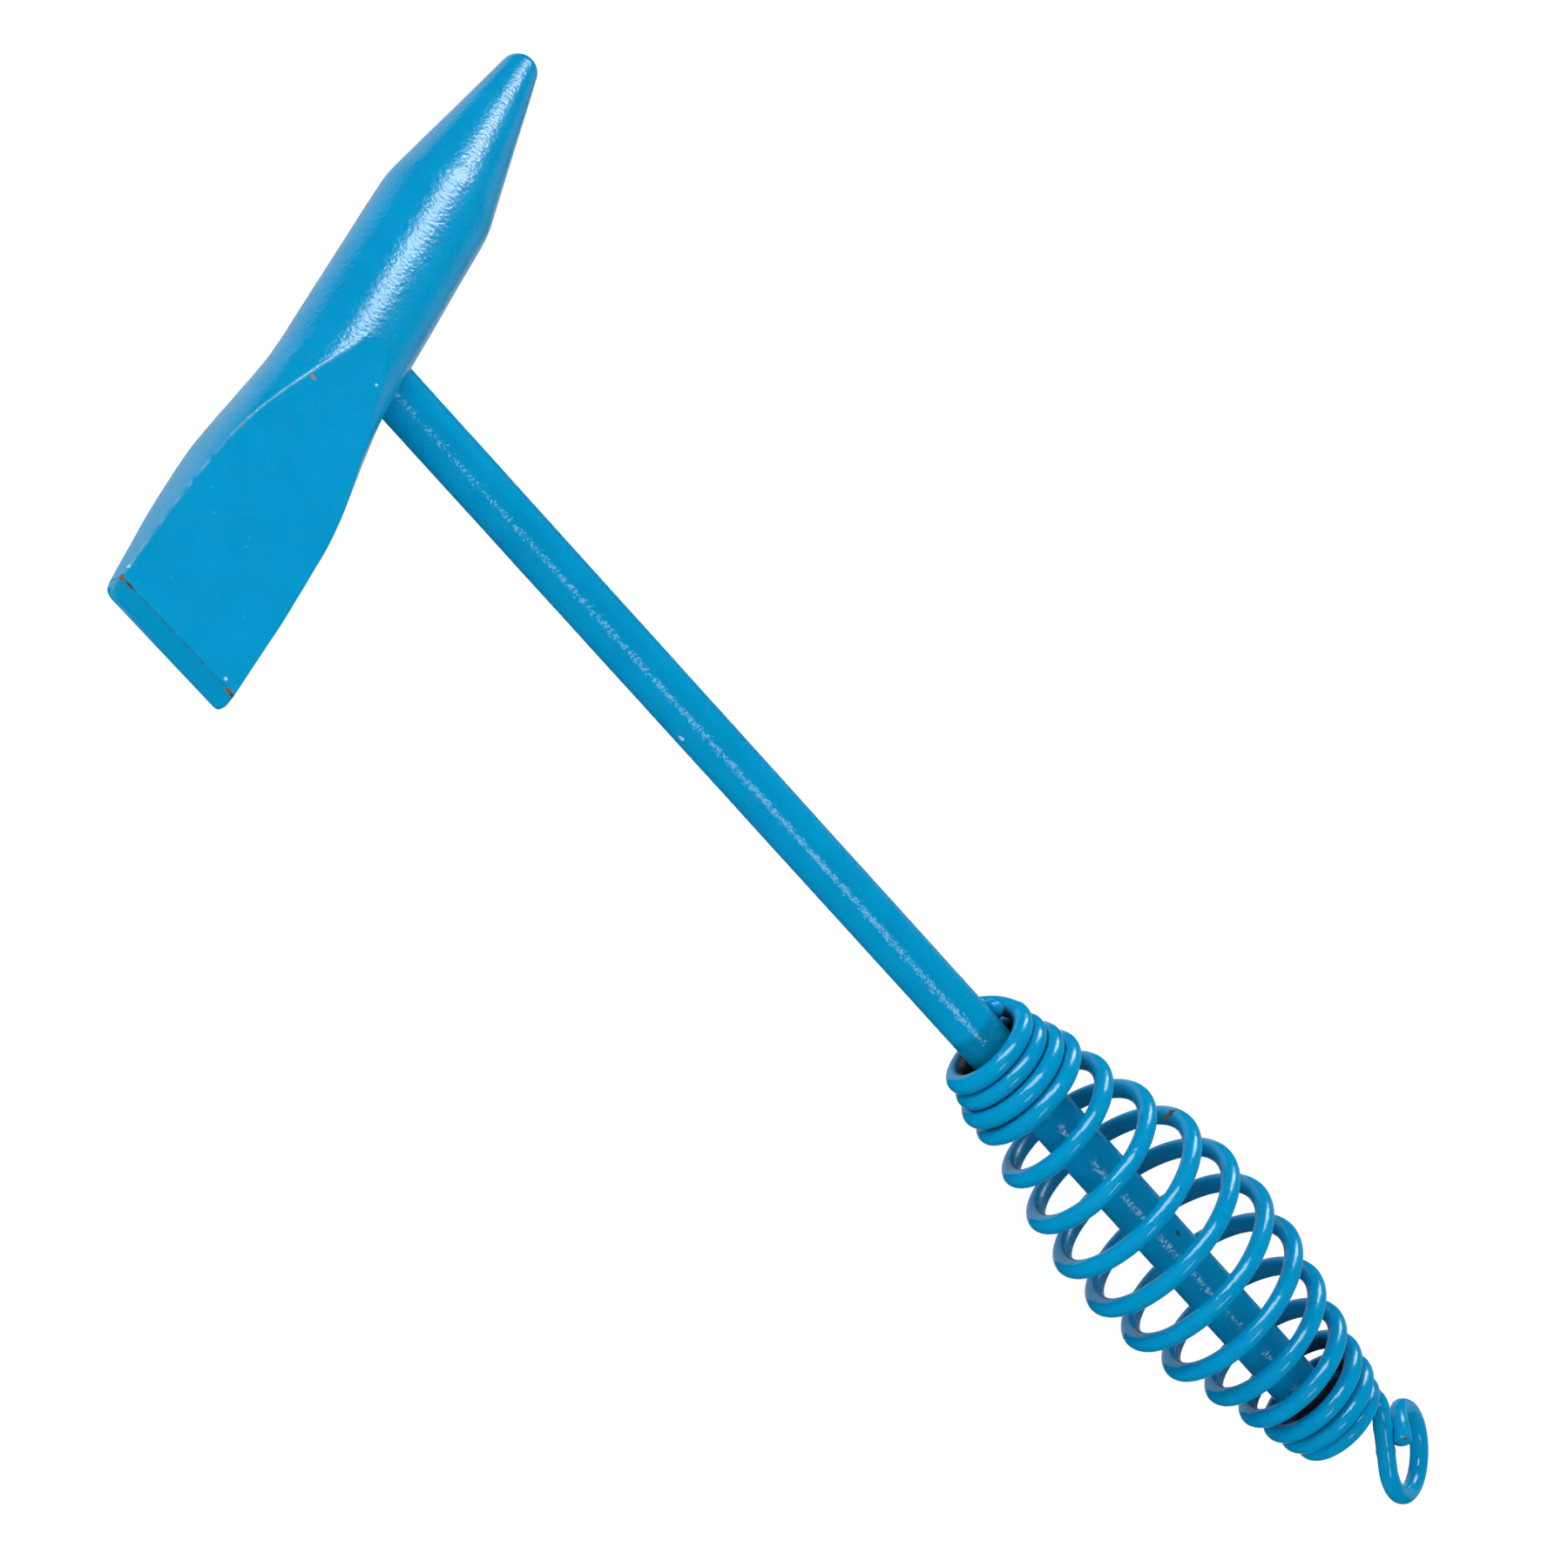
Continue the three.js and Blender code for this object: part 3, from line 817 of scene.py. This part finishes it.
class Nodes:
    """Short calls for building a material's node tree."""

    def __init__(self, name):
        self.material = bpy.data.materials.new(name)
        self.material.use_nodes = True
        self.tree = self.material.node_tree
        self.tree.nodes.clear()
        output = self.add("ShaderNodeOutputMaterial")
        self.shader = self.add("ShaderNodeBsdfPrincipled")
        self.link(self.shader.outputs["BSDF"], output.inputs["Surface"])
        self.where = self.hammer_axes()

    def add(self, kind, **settings):
        node = self.tree.nodes.new(kind)
        for key, value in settings.items():
            setattr(node, key, value)
        return node

    def link(self, source, target):
        self.tree.links.new(source, target)

    def feed(self, value, target):
        """Links a socket, or sets a plain value."""
        if isinstance(value, bpy.types.NodeSocket):
            self.link(value, target)
        else:
            target.default_value = value

    def vector(self, operation, a, b):
        node = self.add("ShaderNodeVectorMath", operation=operation)
        self.feed(a, node.inputs[0])
        self.feed(b, node.inputs[1])
        return node.outputs["Value" if operation in ("DOT_PRODUCT", "DISTANCE") else "Vector"]

    def math(self, operation, a, b=0.0):
        node = self.add("ShaderNodeMath", operation=operation)
        self.feed(a, node.inputs[0])
        self.feed(b, node.inputs[1])
        return node.outputs["Value"]

    def hammer_axes(self):
        """The surface point in the hammer's own axes, in millimetres."""
        point = self.add("ShaderNodeTexCoord").outputs["Object"]
        offset = self.vector("SUBTRACT", point, tuple(ORIGIN))
        joined = self.add("ShaderNodeCombineXYZ")
        for axis, socket in zip(AXES, joined.inputs):
            self.link(self.vector("DOT_PRODUCT", offset, tuple(axis / MM)), socket)
        return joined.outputs["Vector"]

    def along(self, letter):
        """How far the surface point is along one of the hammer's own axes."""
        split = self.add("ShaderNodeSeparateXYZ")
        self.link(self.where, split.inputs["Vector"])
        return split.outputs[letter]

    def noise(self, size, detail=2.0):
        """Noise whose bumps are about size millimetres across."""
        node = self.add("ShaderNodeTexNoise")
        node.inputs["Scale"].default_value = 1 / size
        node.inputs["Detail"].default_value = detail
        self.link(self.where, node.inputs["Vector"])
        return node.outputs["Fac"]

    def ramp(self, value, low, high, out_low=0.0, out_high=1.0):
        """The value spread from one range over another, and kept within it."""
        node = self.add("ShaderNodeMapRange")
        node.inputs["From Min"].default_value = low
        node.inputs["From Max"].default_value = high
        node.inputs["To Min"].default_value = out_low
        node.inputs["To Max"].default_value = out_high
        self.link(value, node.inputs["Value"])
        return node.outputs["Result"]

    def mix(self, share, a, b):
        node = self.add("ShaderNodeMix", data_type="RGBA")
        for value, socket in ((share, 0), (a, 6), (b, 7)):
            self.feed((*value, 1) if isinstance(value, tuple) else value, node.inputs[socket])
        return node.outputs[2]

    def spot(self, centre, radius, drawn_out):
        """One within a ragged spot round a point, nothing outside it."""
        squeeze = (1 / drawn_out, 1, 1)
        here = self.vector("MULTIPLY", self.where, squeeze)
        there = tuple(c * k for c, k in zip(centre, squeeze))
        away = self.vector("DISTANCE", here, there)
        shift = RAGGEDNESS * radius
        ragged = self.ramp(self.noise(RAGGED_SIZE, detail=1.0), 0.0, 1.0, -shift, shift)
        return self.ramp(self.math("ADD", away, ragged), *(radius * edge for edge in MARK_EDGE))

    def specks(self):
        """Small, rare dust nibs under the paint."""
        node = self.add("ShaderNodeTexVoronoi")
        node.inputs["Scale"].default_value = 1 / SPECK_SPACING
        self.link(self.where, node.inputs["Vector"])
        return self.ramp(node.outputs["Distance"], *SPECK_EDGE)


def enamel(name, marks=(), light_and_grime=None):
    """Sprayed blue enamel: orange peel, slight unevenness of colour, dust nibs, painted highlight and
    shade, grime, chips and specks.

    The function given as the third argument takes the nodes and the colour, and gives the colour with
    painted highlight, painted shade and grime added, and how far the surface is darkened.
    """
    nodes = Nodes(name)
    shader = nodes.shader.inputs
    roughness, peel_size, peel_depth = FINISHES[name]
    cloud = nodes.ramp(nodes.noise(CLOUD_SIZE, detail=3.0), *MID_NOISE)
    grain = nodes.ramp(nodes.noise(GRAIN_SIZE), *MID_NOISE, 0.0, GRAIN_STRENGTH)
    deep = tuple(DEEP * c for c in ENAMEL)
    pale = tuple(PALE * c for c in ENAMEL)
    colour = nodes.mix(cloud, deep, pale)
    colour = nodes.mix(grain, colour, pale)
    colour = nodes.mix(nodes.math("MULTIPLY", nodes.specks(), SPECK_STRENGTH), colour, PALE_WEAR_AND_SHEEN)
    patches = nodes.noise(GLOSS_PATCH_SIZE, detail=3.0)
    dull = nodes.ramp(patches, *MID_NOISE, *(roughness + change for change in GLOSS_CHANGE))
    if light_and_grime:
        colour, shade_and_grime = light_and_grime(nodes, colour)
        dull = nodes.math("ADD", dull, nodes.math("MULTIPLY", shade_and_grime, DARKENED_DULLNESS))
    for place_at, radius, drawn_out, tint in marks:
        share = nodes.spot(place_at, radius, drawn_out)
        colour = nodes.mix(share, colour, tint)
        dull = nodes.math("ADD", dull, nodes.math("MULTIPLY", share, MARK_DULLNESS))
    nodes.link(colour, shader["Base Color"])
    nodes.link(dull, shader["Roughness"])
    shader["IOR"].default_value = ENAMEL_IOR
    bump = nodes.add("ShaderNodeBump")
    bump.inputs["Strength"].default_value = 1.0
    bump.inputs["Distance"].default_value = peel_depth * MM
    nodes.link(nodes.noise(peel_size, detail=1.0), bump.inputs["Height"])
    nodes.link(bump.outputs["Normal"], shader["Normal"])
    return nodes.material


def head_highlight_and_grime(nodes, colour):
    """A painted highlight along the ridge on the open side of the blade, and grime in the bevel's groove.
    """
    ridge = nodes.add("ShaderNodeAttribute", attribute_name="ridge_highlight").outputs["Fac"]
    open_side = nodes.ramp(nodes.along("X"), *OPEN_SIDE)
    broken = nodes.ramp(nodes.noise(RIDGE_BREAK_SIZE, detail=3.0), *RIDGE_BREAKS)
    highlit = nodes.math("MULTIPLY", nodes.math("MULTIPLY", ridge, open_side), broken)
    colour = nodes.mix(nodes.math("MULTIPLY", highlit, RIDGE_HIGHLIGHT), colour, PALE_WEAR_AND_SHEEN)
    ground = nodes.ramp(nodes.along("Y"), BEVEL_START, BEVEL_START - BEVEL_FADE)
    colour = nodes.mix(nodes.math("MULTIPLY", ground, BEVEL_SHADE), colour, GRIME)
    from_groove = nodes.math("ABSOLUTE", nodes.math("SUBTRACT", nodes.along("Y"), BEVEL_START))
    line = nodes.ramp(from_groove, *GROOVE_LINE)
    patchy = nodes.ramp(nodes.noise(GROOVE_PATCH_SIZE), *GROOVE_PATCHES, *GROOVE_GRIME)
    filled = nodes.math("MULTIPLY", line, patchy)
    return nodes.mix(filled, colour, GRIME), filled


def rod_painted_shadow(nodes, colour):
    """Painted shadow on the rod inside the grip, darkest inside the collar."""
    inside = nodes.ramp(nodes.along("X"), *ROD_SHADOW_START)
    shadow_depth = nodes.ramp(nodes.along("X"), *IN_COLLAR, *ROD_SHADOW_DARKNESS)
    shadowed = nodes.math("MULTIPLY", inside, shadow_depth)
    return nodes.mix(shadowed, colour, PAINTED_SHADE), 0.0


def spring_painted_shade(nodes, colour):
    """Painted shade on the wire's inner side, near black inside the closed turns, and in its seams."""
    shade_and_grime = nodes.add("ShaderNodeAttribute", attribute_name="shade_and_grime").outputs["Fac"]
    return nodes.mix(shade_and_grime, colour, PAINTED_SHADE), shade_and_grime


def paint(piece, material):
    piece.data.materials.clear()
    piece.data.materials.append(material)


# ------------------------------------------------------------------ stage and light

FLOOR_REACH = 8.0
FLOOR_GREY = 0.2
FLOOR_GLOW = 0.92
WHITE_PAPER = 0.75
BOUNCE_DROP = 0.1 * MM
LIGHT_DISTANCE = 1.4
WORLD_GLOW = 0.4
# Soft windows round the table: azimuth from +Y towards +X, elevation, the width and height that each
# spans, its lean, all in degrees, how bright it looks next to a white floor in the paint's gloss,
# and how brightly it lights the paint.
SOFTBOXES = {
    "far_window": (-20, 33, 34, 18, 28, 13.0, 0.0),
    "far_window_edge": (-20, 33, 48, 32, 28, 2.0, 0.0),
    "far_fill": (0, 30, 46, 38, 0, 0.0, 2.4),
    "head_side_window": (-103, 28, 26, 60, 0, 13.0, 4.5),
    "near_window": (154, 36, 14, 20, 0, 7.0, 0.0),
    "near_fill": (-165, 25, 50, 40, 0, 0.0, 1.5),
    "grip_side_fill": (75, 20, 50, 40, 0, 0.0, 1.3),
}
# White cards that the hammer's edges reflect: azimuth, elevation, width, height and brightness.
CARDS = {
    "far_card": (8, -40, 100, 40, 0.5),
    "far_right_card": (44, 2, 46, 26, 0.25),
}


def heading(azimuth, elevation):
    """The direction from the hammer, both angles in degrees."""
    flat = math.cos(math.radians(elevation))
    return Vector((
        math.sin(math.radians(azimuth)) * flat,
        math.cos(math.radians(azimuth)) * flat,
        math.sin(math.radians(elevation)),
    ))


def turned_in(azimuth, elevation, lean=0):
    """Placed a light's distance away, turned to face the hammer and leaning about its own centre."""
    away = heading(azimuth, elevation)
    turn = (-away).to_track_quat("-Z", "Y").to_matrix() @ Matrix.Rotation(math.radians(lean), 3, "Z")
    return Matrix.Translation(away * LIGHT_DISTANCE) @ turn.to_4x4()


def spanning(angle):
    """The size that spans an angle, in degrees, at a light's distance."""
    return 2 * LIGHT_DISTANCE * math.tan(math.radians(angle) / 2)


def plane(name, width, height, grey, emission):
    """A flat grey rectangle that glows and has no gloss, and isn't part of the hammer."""
    mesh = bpy.data.meshes.new(name)
    x, y = width / 2, height / 2
    mesh.from_pydata([(-x, -y, 0), (x, -y, 0), (x, y, 0), (-x, y, 0)], [], [(0, 1, 2, 3)])
    piece = bpy.data.objects.new(name, mesh)
    bpy.context.scene.collection.objects.link(piece)
    material = bpy.data.materials.new(name)
    material.use_nodes = True
    material.cycles.emission_sampling = "NONE"
    shader = material.node_tree.nodes["Principled BSDF"].inputs
    shader["Base Color"].default_value = (grey, grey, grey, 1)
    shader["Roughness"].default_value = 1.0
    shader["Specular IOR Level"].default_value = 0.0
    shader["Emission Color"].default_value = (1, 1, 1, 1)
    shader["Emission Strength"].default_value = emission
    piece.data.materials.append(material)
    return piece


def make_floor():
    """A white floor that shows next to no shadow, over one that lights the hammer from below."""
    seen = plane("floor", FLOOR_REACH, FLOOR_REACH, FLOOR_GREY, FLOOR_GLOW)
    seen.visible_diffuse = False
    seen.visible_glossy = False
    seen.visible_shadow = False
    bounce = plane("floor_bounce", FLOOR_REACH, FLOOR_REACH, WHITE_PAPER, 0.0)
    bounce.location.z = -BOUNCE_DROP
    bounce.visible_camera = False
    bounce.visible_glossy = False


def make_cards():
    """White cards behind the hammer, seen only in the gloss of the paint."""
    for name, (azimuth, elevation, width, height, glow) in CARDS.items():
        card = plane(name, spanning(width), spanning(height), 0.0, glow)
        card.matrix_world = turned_in(azimuth, elevation)
        card.visible_camera = False
        card.visible_diffuse = False
        card.visible_shadow = False


def softbox(name, azimuth, elevation, width, height, lean, glow):
    """An elliptical light of a given brightness, whatever its size."""
    data = bpy.data.lights.new(name, "AREA")
    data.shape = "ELLIPSE"
    data.size = spanning(width)
    data.size_y = spanning(height)
    area = math.pi / 4 * data.size * data.size_y
    data.energy = glow * math.pi * area
    light = bpy.data.objects.new(name, data)
    bpy.context.scene.collection.objects.link(light)
    light.matrix_world = turned_in(azimuth, elevation, lean)
    return light


def make_light():
    """An even sky and soft windows light the paint, and brighter windows show in its gloss."""
    world = bpy.data.worlds.new("studio")
    bpy.context.scene.world = world
    world.use_nodes = True
    background = world.node_tree.nodes["Background"].inputs
    background["Color"].default_value = (1, 1, 1, 1)
    background["Strength"].default_value = WORLD_GLOW
    world.cycles_visibility.glossy = False
    for name, (*span, gloss, fill) in SOFTBOXES.items():
        if gloss:
            softbox(name, *span, gloss).visible_diffuse = False
        if fill:
            softbox(name + "_fill", *span, fill).visible_glossy = False
    bpy.context.scene.view_settings.view_transform = "Standard"


# ------------------------------------------------------------------ assembly

head = make_head()
rod = make_rod()
spring = make_spring()
weld = make_weld()
paint(head, enamel("head_enamel", HEAD_MARKS, head_highlight_and_grime))
paint(rod, enamel("rod_enamel", ROD_MARKS, rod_painted_shadow))
paint(spring, enamel("spring_enamel", SPRING_MARKS, spring_painted_shade))
paint(weld, enamel("weld_enamel"))
make_floor()
make_cards()
make_light()
